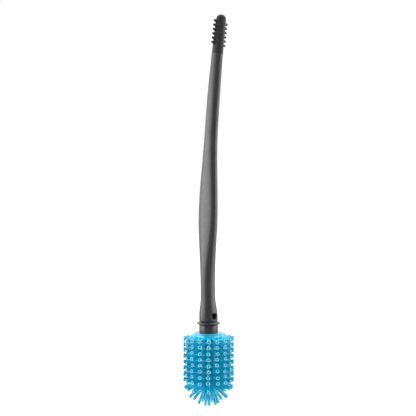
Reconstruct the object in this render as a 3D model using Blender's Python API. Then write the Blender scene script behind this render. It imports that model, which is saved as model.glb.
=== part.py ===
"""Bottle brush: a long curved handle with a soft nubbed tip, and a push-on silicone head.

The handle is a stiff core under a soft grip. Its lower end is a collar with a stop bead, and a
spigot below the collar carries the head. The head is a stiff insert with a flange, inside a
silicone sleeve whose fingers are moulded in one with it. Two rubber rings grip the insert.

The origin is the centre of the hanging eye. +Z runs up the handle, the handle bends in the XZ
plane, and the eye runs along Y. Heights below are counted up from the lowest bristle tip.
"""

import math

import bmesh
import bpy
from mathutils import Matrix, Vector

MM = 0.001
TAU = 2.0 * math.pi
UP = Vector((0.0, 0.0, 1.0))

# Room between pieces that touch or slide, and small steps of the modelling itself
FIT_GAP = 0.3 * MM
CUT_OVERRUN = 2.0 * MM
SLOPE_STEP = 0.2 * MM
MERGE_DISTANCE = 0.003 * MM

# Brush head: reach of the bristles and their pattern
BRISTLE_REACH = 25.0 * MM
COLUMN_COUNT = 18
ROW_COUNT = 8
ROW_PITCH = 5.65 * MM
FIRST_ROW_RISE = 0.8 * MM
BRISTLE_ROOT_RADIUS = 1.9 * MM
BRISTLE_NECK_RADIUS = 1.2 * MM
BRISTLE_END_RADIUS = 1.85 * MM
BRISTLE_FLARE = 2.4 * MM
BRISTLE_ROOT = 1.1 * MM
BRISTLE_SIDES = 4

# Rings of bristles on the domed end: how many in each, and its angle from straight down
DOME_RING_COUNTS = (1, 6, 12, 18)
DOME_RING_DEGREES = (0.0, 25.0, 49.0, 73.5)
DOME_BRISTLE_RADIUS = 1.28 * MM
DOME_BRISTLE_END_RADIUS = 1.5 * MM

# Silicone sleeve and the stiff insert in it
SLEEVE_RADIUS = 12.5 * MM
SLEEVE_DOME_DEPTH = 8.5 * MM
SLEEVE_END_WALL = 3.9 * MM
INSERT_RADIUS = 8.6 * MM
INSERT_FLOOR = 1.8 * MM
INSERT_END_CHAMFER = 2.0 * MM
FLANGE_RADIUS = 14.1 * MM
FLANGE_THICKNESS = 1.05 * MM
FLANGE_ABOVE_TOP_ROW = 4.5 * MM
RIB_PROUD = 0.8 * MM
RIB_HEIGHT = 3.0 * MM
RIB_HEIGHT_SHARES = (0.3, 0.7)

# Spigot of the handle, in the insert's bore
SPIGOT_RADIUS = 6.0 * MM
SPIGOT_PLAY = 0.6 * MM
SPIGOT_END_CHAMFER = 1.0 * MM
SPIGOT_END_ROOM = 0.5 * MM
LUG_PROUD = 1.2 * MM
LUG_WIDTH = 3.0 * MM
LUG_HEIGHT = 5.0 * MM
RING_SECTION_RADIUS = 0.7 * MM
RING_TO_SHOULDER = 9.0 * MM
RING_TO_END = 8.0 * MM

# Collar and stop bead
COLLAR_RADIUS = 9.1 * MM
COLLAR_HEIGHT = 8.85 * MM
BEAD_RADIUS = 11.2 * MM
BEAD_HEIGHT = 3.6 * MM
BEAD_CREST_HEIGHT = 1.0 * MM
BEAD_GROOVE_DEPTH = 0.35 * MM
BEAD_GROOVE_HEIGHT = 0.5 * MM

# Hanging eye
EYE_RADIUS = 3.0 * MM
EYE_CHAMFER = 0.9 * MM
EYE_ABOVE_BEAD = 7.3 * MM

# Handle from the bead to the top of the tip, as half widths along Y and half depths along X
HANDLE_LENGTH = 302.5 * MM
HANDLE_LEAN = 16.8 * MM
LOW_BEND = -3.8 * MM
HIGH_BEND = 1.2 * MM
END_RADIUS = 8.95 * MM
END_HEIGHT = 6.0 * MM
NECK_RADIUS = 6.9 * MM
NECK_HEIGHT = 27.5 * MM
NECK_LENGTH = 7.5 * MM
BULGE_HEIGHT = 105.0 * MM
BULGE_HALF_WIDTH = 12.0 * MM
BULGE_HALF_DEPTH = 5.7 * MM
STEM_HEIGHT = 190.0 * MM
STEM_HALF_WIDTH = 7.75 * MM
STEM_HALF_DEPTH = 5.3 * MM
TIP_RADIUS = 4.95 * MM
TIP_TAPER_POWER = 1.6
OVAL_POWER = 2.0
BULGE_POWER = 2.3
GRIP_WALL = 1.6 * MM

# Nubbed tip, over a peg on the core
TIP_LENGTH = 40.0 * MM
PEG_RADIUS = 2.6 * MM
PEG_TO_TIP_END = 9.0 * MM
PEG_SHOULDER = 3.0 * MM
NUB_PAIRS = 6
NUB_PITCH = 4.3 * MM
NUB_TO_TIP_END = 8.0 * MM
NUB_PROUD = 4.3 * MM
NUB_BASE_RADIUS = 1.95 * MM
NUB_END_RADIUS = 0.65 * MM
NUB_ROOT = 0.9 * MM
NUB_SIDES = 10

# Facets
ROUND_SIDES = 36
HANDLE_SIDES = 24
HANDLE_RINGS = 26
CORE_RINGS = 24
TIP_RINGS = 4
RING_SIDES = 24
RING_SECTION_SIDES = 8
DOME_STEPS = 5
SMOOTH_ANGLE = math.radians(35.0)

# Places that follow from the sizes above, as heights up from the lowest bristle tip
DOME_CENTRE = BRISTLE_REACH
FIRST_ROW = DOME_CENTRE + FIRST_ROW_RISE
TOP_ROW = FIRST_ROW + (ROW_COUNT - 1) * ROW_PITCH
FLANGE_BOTTOM = TOP_ROW + FLANGE_ABOVE_TOP_ROW
FLANGE_TOP = FLANGE_BOTTOM + FLANGE_THICKNESS
SLEEVE_TOP = FLANGE_BOTTOM - FIT_GAP
SLEEVE_BOTTOM = DOME_CENTRE - SLEEVE_DOME_DEPTH
INSERT_BOTTOM = SLEEVE_BOTTOM + SLEEVE_END_WALL + FIT_GAP
BORE_FLOOR = INSERT_BOTTOM + INSERT_FLOOR
BORE_RADIUS = SPIGOT_RADIUS + SPIGOT_PLAY
SHOULDER = FLANGE_TOP + FIT_GAP
SPIGOT_END = BORE_FLOOR + SPIGOT_END_ROOM
BEAD = SHOULDER + COLLAR_HEIGHT
GRIP_START = BEAD + 0.5 * BEAD_HEIGHT + BEAD_GROOVE_HEIGHT
EYE = BEAD + EYE_ABOVE_BEAD
HANDLE_TOP = BEAD + HANDLE_LENGTH
GRIP_END = HANDLE_TOP - TIP_LENGTH
TIP_START = GRIP_END + FIT_GAP
RING_HEIGHTS = (SHOULDER - RING_TO_SHOULDER, SPIGOT_END + RING_TO_END)


def clear_scene():
    """Remove whatever the file holds."""
    for old in list(bpy.data.objects):
        bpy.data.objects.remove(old, do_unlink=True)


def material(name, colour, roughness):
    """Plain moulded material with one colour."""
    made = bpy.data.materials.new(name)
    made.use_nodes = True
    shader = made.node_tree.nodes["Principled BSDF"]
    shader.inputs["Base Color"].default_value = (*colour, 1.0)
    shader.inputs["Roughness"].default_value = roughness
    shader.inputs["Metallic"].default_value = 0.0
    return made


def grip_material():
    """Dark grey soft-touch rubber."""
    return material("soft_grip", (0.060, 0.060, 0.062), 0.55)


def core_material():
    """Dark grey stiff plastic."""
    return material("stiff_grey", (0.055, 0.055, 0.057), 0.42)


def tip_material():
    """Darker grey rubber of the nubbed tip."""
    return material("tip_rubber", (0.045, 0.045, 0.047), 0.5)


def ring_material():
    """Black rubber of the rings."""
    return material("ring_rubber", (0.012, 0.012, 0.012), 0.6)


def insert_material():
    """Blue stiff plastic."""
    return material("stiff_blue", (0.010, 0.300, 0.520), 0.35)


def bristle_material():
    """Blue silicone."""
    return material("silicone", (0.005, 0.285, 0.515), 0.4)


def finish(bm, name, finish_material, parent):
    """Turn a closed bmesh into a named object under its parent."""
    bmesh.ops.recalc_face_normals(bm, faces=bm.faces[:])
    mesh = bpy.data.meshes.new(name)
    bm.to_mesh(mesh)
    bm.free()
    mesh.materials.append(finish_material)
    mesh.shade_smooth()
    mesh.set_sharp_from_angle(angle=SMOOTH_ANGLE)
    made = bpy.data.objects.new(name, mesh)
    bpy.context.scene.collection.objects.link(made)
    made.parent = parent
    return made


def joint_empty(name, height, parent=None):
    """Empty on the head's axis, at a height counted from its parent."""
    made = bpy.data.objects.new(name, None)
    bpy.context.scene.collection.objects.link(made)
    made.location = (0.0, 0.0, height)
    made.parent = parent
    return made


def as_cutter(cutter):
    """Keep a cutting solid out of the model."""
    cutter.hide_render = True
    cutter.display_type = "WIRE"
    return cutter


def boolean(target, other, operation):
    """Join another solid to the target, or cut it out."""
    modifier = target.modifiers.new(other.name, "BOOLEAN")
    modifier.operation = operation
    modifier.object = as_cutter(other)
    modifier.solver = "EXACT"


def turned(outline, sides):
    """Spin an outline of (radius, height) points about Z; its ends may lie on the axis."""
    bm = bmesh.new()
    points = [bm.verts.new((radius, 0.0, height)) for radius, height in outline]
    wire = [bm.edges.new(pair) for pair in zip(points, points[1:])]
    if outline[0][0] > 0.0:
        wire.append(bm.edges.new((points[-1], points[0])))
    bmesh.ops.spin(
        bm, geom=points + wire, cent=(0.0, 0.0, 0.0), axis=UP, angle=TAU, steps=sides,
        use_merge=True)
    bmesh.ops.remove_doubles(bm, verts=bm.verts[:], dist=MERGE_DISTANCE)
    return bm


def arc(radius, height, reach, depth, start, stop, steps):
    """Points on an ellipse about (radius, height), from one angle to another in degrees."""
    points = []
    for step in range(steps + 1):
        angle = math.radians(start + (stop - start) * step / steps)
        points.append((radius + reach * math.cos(angle), height + depth * math.sin(angle)))
    return points


def loft(rings):
    """Closed solid through rings of points, each joined to the next, with flat ends."""
    bm = bmesh.new()
    loops = [[bm.verts.new(point) for point in ring] for ring in rings]
    count = len(loops[0])
    for low, high in zip(loops, loops[1:]):
        for side in range(count):
            after = (side + 1) % count
            bm.faces.new((low[side], low[after], high[after], high[side]))
    bm.faces.new(list(reversed(loops[0])))
    bm.faces.new(loops[-1])
    return bm


def tube_loft(outer, inner):
    """Closed skin between an outer and an inner run of rings, open at both ends."""
    bm = bmesh.new()
    rings = list(outer) + list(reversed(inner))
    loops = [[bm.verts.new(point) for point in ring] for ring in rings]
    count = len(loops[0])
    for low, high in zip(loops, loops[1:] + loops[:1]):
        for side in range(count):
            after = (side + 1) % count
            bm.faces.new((low[side], low[after], high[after], high[side]))
    return bm


def ease(share):
    """Smooth step from 0 to 1."""
    held = min(max(share, 0.0), 1.0)
    return held * held * (3.0 - 2.0 * held)


def between(low, high, share):
    """Value at a share of the way from one size to another."""
    return low + (high - low) * share


def handle_lean(height):
    """How far the handle's middle stands off the head's axis, along X."""
    along = (height - BEAD) / HANDLE_LENGTH
    back = 1.0 - along
    low = 3.0 * back * back * along * LOW_BEND
    high = 3.0 * back * along * along * HIGH_BEND
    return low + high + along ** 3 * HANDLE_LEAN


def handle_half_sizes(height):
    """Half width along Y and half depth along X of the handle's outside."""
    up = height - BEAD
    neck_top = NECK_HEIGHT + NECK_LENGTH
    if up < NECK_HEIGHT:
        share = ease((up - END_HEIGHT) / (NECK_HEIGHT - END_HEIGHT))
        radius = between(END_RADIUS, NECK_RADIUS, share)
        return radius, radius
    if up < BULGE_HEIGHT:
        share = ease((up - neck_top) / (BULGE_HEIGHT - neck_top))
        return (between(NECK_RADIUS, BULGE_HALF_WIDTH, share),
                between(NECK_RADIUS, BULGE_HALF_DEPTH, share))
    if up < STEM_HEIGHT:
        share = ease((up - BULGE_HEIGHT) / (STEM_HEIGHT - BULGE_HEIGHT))
        return (between(BULGE_HALF_WIDTH, STEM_HALF_WIDTH, share),
                between(BULGE_HALF_DEPTH, STEM_HALF_DEPTH, share))
    share = (up - STEM_HEIGHT) / (HANDLE_LENGTH - TIP_RADIUS - STEM_HEIGHT)
    share = min(share, 1.0) ** TIP_TAPER_POWER
    return (between(STEM_HALF_WIDTH, TIP_RADIUS, share),
            between(STEM_HALF_DEPTH, TIP_RADIUS, share))


def section_power(height):
    """Exponent of the handle's section: an oval, but with flatter broad sides at the bulge."""
    up = height - BEAD
    neck_top = NECK_HEIGHT + NECK_LENGTH
    rise = ease((up - neck_top) / (BULGE_HEIGHT - neck_top))
    fall = ease((up - BULGE_HEIGHT) / (STEM_HEIGHT - BULGE_HEIGHT))
    return between(OVAL_POWER, BULGE_POWER, rise - fall)


def flattened(value, power):
    """Cosine or sine of an oval, moved out for a section with a higher exponent."""
    return math.copysign(abs(value) ** (OVAL_POWER / power), value)


def handle_frame(height):
    """Middle of the handle at a height, and the direction across its bend."""
    rise = handle_lean(height + SLOPE_STEP) - handle_lean(height - SLOPE_STEP)
    along = Vector((rise, 0.0, 2.0 * SLOPE_STEP)).normalized()
    return Vector((handle_lean(height), 0.0, height)), Vector((along.z, 0.0, -along.x))


def handle_ring(height, half_width, half_depth, sides, level=False):
    """Ring of points square to the handle's middle line, or level where asked."""
    middle, across = handle_frame(height)
    if level:
        across = Vector((1.0, 0.0, 0.0))
    power = section_power(height)
    points = []
    for side in range(sides):
        angle = TAU * side / sides
        offset = across * (half_depth * flattened(math.cos(angle), power))
        offset += Vector((0.0, half_width * flattened(math.sin(angle), power), 0.0))
        points.append(middle + offset)
    return points


def skin_rings(low, high, inset, count, level_low=False):
    """Rings of the handle's outside, drawn in by an inset, from one height to another."""
    rings = []
    for step in range(count + 1):
        height = between(low, high, step / count)
        half_width, half_depth = handle_half_sizes(height)
        level = level_low and step == 0
        rings.append(handle_ring(
            height, half_width - inset, half_depth - inset, HANDLE_SIDES, level))
    return rings


def round_ring(radius, height, sides):
    """Level ring of points about the head's axis."""
    points = []
    for side in range(sides):
        angle = TAU * side / sides
        points.append(Vector((radius * math.cos(angle), radius * math.sin(angle), height)))
    return points


def spigot_outline():
    """Radius and height up the spigot, with a groove for each rubber ring."""
    outline = [(SPIGOT_RADIUS - SPIGOT_END_CHAMFER, SPIGOT_END),
               (SPIGOT_RADIUS, SPIGOT_END + SPIGOT_END_CHAMFER)]
    half_groove = RING_SECTION_RADIUS + FIT_GAP
    groove_radius = ring_middle_radius() - half_groove
    for height in sorted(RING_HEIGHTS):
        outline += [(SPIGOT_RADIUS, height - half_groove), (groove_radius, height - half_groove),
                    (groove_radius, height + half_groove), (SPIGOT_RADIUS, height + half_groove)]
    outline.append((SPIGOT_RADIUS, SHOULDER))
    return outline


def collar_outline():
    """Radius and height of the collar and its stop bead, up to where the grip starts."""
    half_bead = 0.5 * BEAD_HEIGHT
    half_crest = 0.5 * BEAD_CREST_HEIGHT
    groove_radius = COLLAR_RADIUS - BEAD_GROOVE_DEPTH
    bead_bottom = BEAD - half_bead
    bead_top = BEAD + half_bead
    return [(COLLAR_RADIUS, SHOULDER),
            (COLLAR_RADIUS, bead_bottom - BEAD_GROOVE_HEIGHT),
            (groove_radius, bead_bottom),
            (BEAD_RADIUS, BEAD - half_crest),
            (BEAD_RADIUS, BEAD + half_crest),
            (groove_radius, bead_top)]


def ring_middle_radius():
    """Radius of the rubber rings' middle line, clear of the bore by one gap."""
    return BORE_RADIUS - FIT_GAP - RING_SECTION_RADIUS


def eye_cutter():
    """Round bar through the handle along Y, widened at both mouths by a chamfer."""
    half = BEAD_RADIUS + CUT_OVERRUN
    mouth = END_RADIUS - EYE_CHAMFER
    outline = [(0.0, -half), (EYE_RADIUS + half - mouth, -half), (EYE_RADIUS, -mouth),
               (EYE_RADIUS, mouth), (EYE_RADIUS + half - mouth, half), (0.0, half)]
    bm = turned(outline, RING_SIDES)
    turn = Matrix.Translation((0.0, 0.0, EYE)) @ Matrix.Rotation(math.radians(90.0), 4, "X")
    bmesh.ops.transform(bm, matrix=turn, verts=bm.verts[:])
    return bm


def lug_block(room, top):
    """Bar across the spigot whose two ends are the driving lugs, with room all round."""
    bm = bmesh.new()
    bmesh.ops.create_cube(bm, size=1.0)
    reach = SPIGOT_RADIUS + LUG_PROUD + room
    low = SHOULDER - LUG_HEIGHT - room
    size = Matrix.Diagonal((2.0 * reach, LUG_WIDTH + 2.0 * room, top - low, 1.0))
    place = Matrix.Translation((0.0, 0.0, 0.5 * (low + top)))
    bmesh.ops.transform(bm, matrix=place @ size, verts=bm.verts[:])
    return bm


def make_core(parent):
    """Stiff core: spigot, collar, stop bead, the bar in the grip and the peg in the tip."""
    finish_material = core_material()
    rings = []
    for radius, height in spigot_outline() + collar_outline():
        rings.append(round_ring(radius, height, HANDLE_SIDES))
    inset = GRIP_WALL + FIT_GAP
    start = GRIP_START - FIT_GAP
    half_width, half_depth = handle_half_sizes(start)
    rings.append(handle_ring(
        start, half_width - inset, half_depth - inset, HANDLE_SIDES, level=True))
    rings += skin_rings(GRIP_START + FIT_GAP, GRIP_END - PEG_SHOULDER, inset, CORE_RINGS)
    peg_top = HANDLE_TOP - PEG_TO_TIP_END
    for step in range(TIP_RINGS + 1):
        height = between(GRIP_END + FIT_GAP, peg_top, step / TIP_RINGS)
        rings.append(handle_ring(height, PEG_RADIUS, PEG_RADIUS, HANDLE_SIDES))
    core = finish(loft(rings), "handle_core", finish_material, parent)
    lugs = finish(lug_block(0.0, SHOULDER + FIT_GAP), "lug_bar", finish_material, parent)
    boolean(core, lugs, "UNION")
    eye = finish(eye_cutter(), "core_eye_cutter", finish_material, parent)
    boolean(core, eye, "DIFFERENCE")
    return core


def make_grip(parent):
    """Soft skin over the core, from the bead to the tip, with the eye through it."""
    finish_material = grip_material()
    outer = skin_rings(GRIP_START, GRIP_END, 0.0, HANDLE_RINGS, level_low=True)
    inner = skin_rings(GRIP_START, GRIP_END, GRIP_WALL, HANDLE_RINGS, level_low=True)
    grip = finish(tube_loft(outer, inner), "handle_grip", finish_material, parent)
    eye = finish(eye_cutter(), "grip_eye_cutter", finish_material, parent)
    boolean(grip, eye, "DIFFERENCE")
    return grip


def tip_dome_rings():
    """Rings that close the tip over its rounded end."""
    rings = []
    dome_start = HANDLE_TOP - TIP_RADIUS
    for step in range(1, DOME_STEPS):
        angle = 0.5 * math.pi * step / DOME_STEPS
        radius = TIP_RADIUS * math.cos(angle)
        height = dome_start + TIP_RADIUS * math.sin(angle)
        rings.append(handle_ring(height, radius, radius, HANDLE_SIDES))
    return rings


def nub(bm, height, side):
    """Cone on the tip, square to its middle line, on one side of the bend."""
    middle, across = handle_frame(height)
    out = across * side
    _half_width, half_depth = handle_half_sizes(height)
    start = middle + out * (half_depth - NUB_ROOT)
    length = NUB_ROOT + NUB_PROUD
    turn = out.to_track_quat("Z", "X").to_matrix().to_4x4()
    place = Matrix.Translation(start + out * (0.5 * length)) @ turn
    bmesh.ops.create_cone(
        bm, cap_ends=True, segments=NUB_SIDES, radius1=NUB_BASE_RADIUS, radius2=NUB_END_RADIUS,
        depth=length, matrix=place)


def make_tip(parent):
    """Soft nubbed tip: a cap over the core's peg, with two facing columns of cones."""
    finish_material = tip_material()
    outer = skin_rings(TIP_START, HANDLE_TOP - TIP_RADIUS, 0.0, TIP_RINGS) + tip_dome_rings()
    bore_radius = PEG_RADIUS + FIT_GAP
    bore_top = HANDLE_TOP - PEG_TO_TIP_END + FIT_GAP
    cap = finish(loft(outer), "detail_tip", finish_material, parent)
    bore = []
    for step in range(TIP_RINGS + 1):
        height = between(TIP_START - CUT_OVERRUN, bore_top, step / TIP_RINGS)
        bore.append(handle_ring(height, bore_radius, bore_radius, HANDLE_SIDES))
    nubs = bmesh.new()
    for index in range(NUB_PAIRS):
        height = HANDLE_TOP - NUB_TO_TIP_END - index * NUB_PITCH
        for side in (-1.0, 1.0):
            nub(nubs, height, side)
    boolean(cap, finish(nubs, "nub_set", finish_material, parent), "UNION")
    boolean(cap, finish(loft(bore), "tip_bore_cutter", finish_material, parent), "DIFFERENCE")
    return cap


def make_ring(name, height, parent):
    """Rubber ring in its groove on the spigot."""
    middle = ring_middle_radius()
    outline = arc(middle, height, RING_SECTION_RADIUS, RING_SECTION_RADIUS, 0.0, 360.0,
                  RING_SECTION_SIDES)
    return finish(turned(outline[:-1], RING_SIDES), name, ring_material(), parent)


def rib_heights():
    """Middle heights of the ribs that hold the sleeve on the insert."""
    return [between(DOME_CENTRE, SLEEVE_TOP, share) for share in RIB_HEIGHT_SHARES]


def ribbed_wall(radius, room):
    """Outline up a wall with its ribs, each with a sloping top and bottom."""
    outline = []
    for height in rib_heights():
        half = 0.5 * RIB_HEIGHT + room
        outline += [(radius, height - half), (radius + RIB_PROUD, height - half + RIB_PROUD),
                    (radius + RIB_PROUD, height + half - RIB_PROUD), (radius, height + half)]
    return outline


def make_insert(parent, down):
    """Stiff insert of the head: a tube with a floor, ribs outside and a flange on top."""
    finish_material = insert_material()
    outline = [(0.0, INSERT_BOTTOM),
               (INSERT_RADIUS - INSERT_END_CHAMFER, INSERT_BOTTOM),
               (INSERT_RADIUS, INSERT_BOTTOM + INSERT_END_CHAMFER)]
    outline += ribbed_wall(INSERT_RADIUS, 0.0)
    outline += [(INSERT_RADIUS, FLANGE_BOTTOM), (FLANGE_RADIUS, FLANGE_BOTTOM),
                (FLANGE_RADIUS, FLANGE_TOP), (BORE_RADIUS, FLANGE_TOP),
                (BORE_RADIUS, BORE_FLOOR), (0.0, BORE_FLOOR)]
    bm = turned(outline, ROUND_SIDES)
    slots = lug_block(FIT_GAP, FLANGE_TOP + CUT_OVERRUN)
    for shape in (bm, slots):
        bmesh.ops.translate(shape, vec=down, verts=shape.verts[:])
    insert = finish(bm, "head_insert", finish_material, parent)
    boolean(insert, finish(slots, "lug_slot_cutter", finish_material, parent), "DIFFERENCE")
    return insert


def sleeve_outline():
    """Outside and bore of the silicone sleeve, from the tip of its dome round to its floor."""
    bore = INSERT_RADIUS + FIT_GAP
    floor = INSERT_BOTTOM - FIT_GAP
    dome = arc(0.0, DOME_CENTRE, SLEEVE_RADIUS, SLEEVE_DOME_DEPTH, -90.0, 0.0, DOME_STEPS)
    outline = [(0.0, SLEEVE_BOTTOM)] + dome[1:]
    outline += [(SLEEVE_RADIUS, SLEEVE_TOP), (bore, SLEEVE_TOP)]
    outline += list(reversed(ribbed_wall(bore, FIT_GAP)))
    outline += [(bore, floor + INSERT_END_CHAMFER), (bore - INSERT_END_CHAMFER, floor),
                (0.0, floor)]
    return outline


def bristle(bm, root, out, length, radii):
    """Moulded finger with its root, neck and end radius; each section has a round one's area."""
    turn = out.to_track_quat("Z", "X").to_matrix()
    corner = math.sqrt(TAU / (BRISTLE_SIDES * math.sin(TAU / BRISTLE_SIDES)))
    rings = []
    for along, radius in zip((0.0, length - BRISTLE_FLARE, length), radii):
        ring = []
        for side in range(BRISTLE_SIDES):
            angle = TAU * (side + 0.5) / BRISTLE_SIDES
            flat = Vector((math.cos(angle), math.sin(angle), 0.0)) * (radius * corner)
            ring.append(bm.verts.new(root + out * along + turn @ flat))
        rings.append(ring)
    for low, high in zip(rings, rings[1:]):
        for side in range(BRISTLE_SIDES):
            after = (side + 1) % BRISTLE_SIDES
            bm.faces.new((low[side], low[after], high[after], high[side]))
    bm.faces.new(list(reversed(rings[0])))
    bm.faces.new(rings[-1])


def side_bristles(bm):
    """Rows of fingers round the straight part of the sleeve."""
    radii = (BRISTLE_ROOT_RADIUS, BRISTLE_NECK_RADIUS, BRISTLE_END_RADIUS)
    start = SLEEVE_RADIUS - BRISTLE_ROOT
    for row in range(ROW_COUNT):
        height = FIRST_ROW + row * ROW_PITCH
        for column in range(COLUMN_COUNT):
            angle = TAU * column / COLUMN_COUNT
            out = Vector((math.sin(angle), -math.cos(angle), 0.0))
            root = out * start + UP * height
            bristle(bm, root, out, BRISTLE_REACH - start, radii)


def dome_surface_reach(polar):
    """Distance from the dome's centre to its surface, at an angle from straight down."""
    across = math.sin(polar) / SLEEVE_RADIUS
    down = math.cos(polar) / SLEEVE_DOME_DEPTH
    return 1.0 / math.hypot(across, down)


def dome_bristles(bm):
    """Rings of fingers on the dome, all reaching the same sphere."""
    centre = UP * DOME_CENTRE
    radii = (DOME_BRISTLE_RADIUS, DOME_BRISTLE_RADIUS, DOME_BRISTLE_END_RADIUS)
    for count, degrees in zip(DOME_RING_COUNTS, DOME_RING_DEGREES):
        polar = math.radians(degrees)
        start = dome_surface_reach(polar) - BRISTLE_ROOT
        for index in range(count):
            angle = TAU * index / count
            flat = Vector((math.sin(angle), -math.cos(angle), 0.0)) * math.sin(polar)
            out = flat - UP * math.cos(polar)
            bristle(bm, centre + out * start, out, BRISTLE_REACH - start, radii)


def make_brush_head(parent, down):
    """Silicone sleeve over the insert, with its fingers moulded on."""
    finish_material = bristle_material()
    sleeve_mesh = turned(sleeve_outline(), ROUND_SIDES)
    fingers_mesh = bmesh.new()
    side_bristles(fingers_mesh)
    dome_bristles(fingers_mesh)
    for shape in (sleeve_mesh, fingers_mesh):
        bmesh.ops.translate(shape, vec=down, verts=shape.verts[:])
    sleeve = finish(sleeve_mesh, "brush_head", finish_material, parent)
    boolean(sleeve, finish(fingers_mesh, "finger_set", finish_material, parent), "UNION")
    return sleeve


def build():
    """Model the brush about the centre of its hanging eye."""
    clear_scene()
    brush = joint_empty("brush", -EYE)
    make_core(brush)
    make_grip(brush)
    make_tip(brush)
    for name, height in zip(("seal_ring_upper", "seal_ring_lower"), RING_HEIGHTS):
        make_ring(name, height, brush)
    pull = joint_empty("head_pull", SHOULDER, brush)
    down = -UP * SHOULDER
    make_insert(pull, down)
    make_brush_head(pull, down)


build()
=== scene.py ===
"""Looks of the bottle brush: smooth mouldings, soft fingers, finishes, light and camera.

Lengths are in metres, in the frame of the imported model. The origin is the centre of the hanging
eye, +Z runs up the handle, the handle bends in the XZ plane and the eye runs along Y.
"""

import math

import bmesh
import bpy
from mathutils import Matrix, Vector


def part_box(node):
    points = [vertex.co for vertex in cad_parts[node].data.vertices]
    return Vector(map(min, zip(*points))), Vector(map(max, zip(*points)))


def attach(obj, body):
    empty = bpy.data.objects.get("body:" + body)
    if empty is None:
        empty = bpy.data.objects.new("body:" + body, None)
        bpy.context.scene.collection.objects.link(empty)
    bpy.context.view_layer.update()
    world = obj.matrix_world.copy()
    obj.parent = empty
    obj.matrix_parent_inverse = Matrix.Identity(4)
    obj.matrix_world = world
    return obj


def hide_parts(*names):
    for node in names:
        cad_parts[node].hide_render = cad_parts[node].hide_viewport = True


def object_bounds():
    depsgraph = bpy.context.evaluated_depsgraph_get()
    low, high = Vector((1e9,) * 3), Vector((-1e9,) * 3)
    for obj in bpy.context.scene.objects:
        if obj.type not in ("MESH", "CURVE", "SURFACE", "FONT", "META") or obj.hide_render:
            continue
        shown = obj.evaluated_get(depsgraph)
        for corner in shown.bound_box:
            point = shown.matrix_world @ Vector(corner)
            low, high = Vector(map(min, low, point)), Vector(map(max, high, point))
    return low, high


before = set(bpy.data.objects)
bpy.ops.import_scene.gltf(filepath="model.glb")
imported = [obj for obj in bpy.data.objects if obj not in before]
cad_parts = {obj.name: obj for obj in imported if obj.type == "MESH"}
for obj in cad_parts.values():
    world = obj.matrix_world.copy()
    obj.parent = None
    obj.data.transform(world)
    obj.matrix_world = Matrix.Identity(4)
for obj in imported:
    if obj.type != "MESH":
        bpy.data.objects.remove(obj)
cad_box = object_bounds()

MM = 0.001
TAU = 2.0 * math.pi
UP = Vector((0.0, 0.0, 1.0))
FIT_GAP = 0.3 * MM
CUT_OVERRUN = 2.0 * MM

# Fingers of the head: reach, pattern and outline
REACH = 25.0 * MM
COLUMN_COUNT = 18
ROW_COUNT = 8
ROW_PITCH = 5.65 * MM
FIRST_ROW_RISE = 0.8 * MM
DOME_RING_COUNTS = (1, 6, 12, 18)
DOME_RING_DEGREES = (0.0, 25.0, 49.0, 73.5)
FINGER_ROOT = 1.1 * MM
FINGER_ROOT_RADIUS = 1.95 * MM
FINGER_NECK_RADIUS = 1.35 * MM
FINGER_END_RADIUS = 1.85 * MM
FINGER_FLARE = 2.4 * MM
DOME_FINGER_ROOT_RADIUS = 1.5 * MM
DOME_FINGER_NECK_RADIUS = 1.45 * MM
DOME_FINGER_END_RADIUS = 1.6 * MM
FILLET_REACH = 0.45 * MM
FILLET_HEIGHT = 1.0 * MM
FILLET_SUNK = 0.1 * MM
FLARE_HALF_WAY_SHARE = 0.35
RIM_EASE = 0.35 * MM
# Shares of the painted rim highlight at the rim's outer and inner edge; its crest has the whole
# of it
RIM_OUTER_HIGHLIGHT = 0.7
RIM_INNER_HIGHLIGHT = 0.5
DISH_DEPTH = 1.1 * MM
DISH_RADIUS_SHARE = 0.55
DISH_FLOOR_SHARE = 0.8
FINGER_SIDES = 10
SOFT_ANGLE = math.radians(80.0)
FINGER_WOBBLE = math.radians(2.4)
FINGER_SEED = 11

# Silicone sleeve and the stiff insert in it
SLEEVE_RADIUS = 12.5 * MM
SLEEVE_DOME_DEPTH = 8.5 * MM
SLEEVE_END_WALL = 3.9 * MM
INSERT_RADIUS = 8.6 * MM
INSERT_FLOOR = 1.8 * MM
INSERT_END_CHAMFER = 2.0 * MM
FLANGE_RADIUS = 14.1 * MM
FLANGE_THICKNESS = 1.05 * MM
FLANGE_ABOVE_TOP_ROW = 4.5 * MM
FLANGE_EASE = 0.4 * MM
RIB_PROUD = 0.8 * MM
RIB_HEIGHT = 3.0 * MM
RIB_HEIGHT_SHARES = (0.3, 0.7)

# Spigot of the handle, in the insert's bore
SPIGOT_RADIUS = 6.0 * MM
SPIGOT_PLAY = 0.6 * MM
SPIGOT_END_CHAMFER = 1.0 * MM
SPIGOT_END_ROOM = 0.5 * MM
LUG_PROUD = 1.2 * MM
LUG_WIDTH = 3.0 * MM
LUG_HEIGHT = 5.0 * MM
LUG_EDGE_STEPS = 3
RING_SECTION_RADIUS = 0.7 * MM
RING_TO_SHOULDER = 9.0 * MM
RING_TO_END = 8.0 * MM

# Collar and stop bead
COLLAR_RADIUS = 9.1 * MM
COLLAR_HEIGHT = 8.85 * MM
BEAD_RADIUS = 11.2 * MM
BEAD_HEIGHT = 3.6 * MM
BEAD_CREST_HEIGHT = 1.0 * MM
BEAD_GROOVE_DEPTH = 0.35 * MM
BEAD_GROOVE_HEIGHT = 0.5 * MM
FINE_EASE = 0.25 * MM

# Hanging eye
EYE_RADIUS = 3.0 * MM
EYE_EASE = 0.8 * MM

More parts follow.
